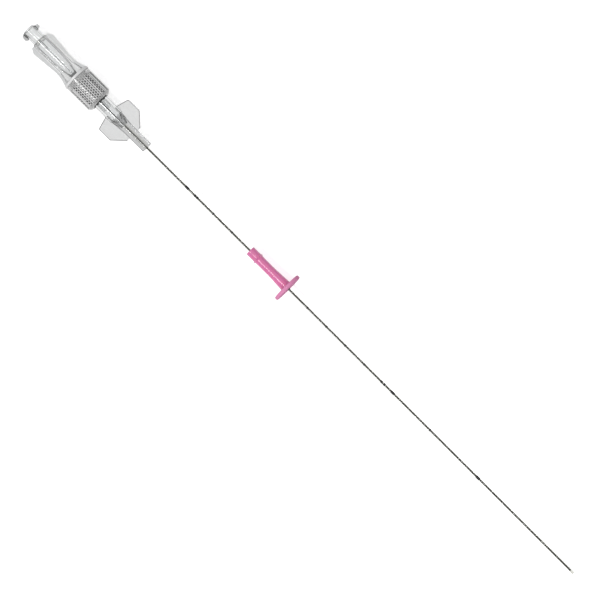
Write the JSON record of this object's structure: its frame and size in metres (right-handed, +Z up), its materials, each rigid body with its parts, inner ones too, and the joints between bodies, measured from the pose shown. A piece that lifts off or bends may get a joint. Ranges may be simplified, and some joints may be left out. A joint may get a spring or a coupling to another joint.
{
  "type": "urinary catheter",
  "caption": "Straight thin clear catheter with winged luer hub, stiffening wire with winged adaptor and lock collar, and a sliding suture flange.",
  "frame": {"origin": "middle of the object's length, below its axis, on the surface it lies on", "axes": "+X along the axis from the rear luer port to the open tip, +Y across the wings, +Z up"},
  "size_m": [0.2886, 0.0158, 0.0121],
  "materials": {
    "clear_plastic": "clear moulded polycarbonate",
    "frosted_plastic": "translucent ribbed polypropylene",
    "soft_sleeve": "translucent soft silicone",
    "clear_tube": "clear polyurethane with black depth marks",
    "steel": "drawn stainless wire",
    "pink_plastic": "moulded pink plastic"
  },
  "bodies": {
    "catheter": {"catheter_hub": "clear_plastic", "wing_sleeve": "soft_sleeve", "catheter_tube": "clear_tube"},
    "adaptor": {"adaptor": "clear_plastic"},
    "collar": {"lock_collar": "frosted_plastic"},
    "stylet": {"stylet_hub": "clear_plastic", "wire_ferrule": "steel", "stylet_wire": "steel"},
    "suture_flange": {"suture_flange": "pink_plastic"}
  },
  "joints": [
    {"name": "adaptor_back_off", "type": "slide", "parent": "catheter", "child": "adaptor", "axis": [-1, 0, 0], "range_m": [0, 0.0025]},
    {"name": "collar_turn", "type": "hinge", "parent": "adaptor", "child": "collar", "pos_m": [-0.1117, 0, 0.00605], "axis": [-1, 0, 0], "range_deg": [0, 180]},
    {"name": "stylet_pull", "type": "slide", "parent": "adaptor", "child": "stylet", "axis": [-1, 0, 0], "range_m": [0, 0.2815]},
    {"name": "flange_slide", "type": "slide", "parent": "catheter", "child": "suture_flange", "axis": [1, 0, 0], "range_m": [-0.0545, 0.148]}
  ],
  "couplings": [
    {"joint": "collar_turn", "follows": "adaptor_back_off", "rad_per_m": 1256.6}
  ]
}
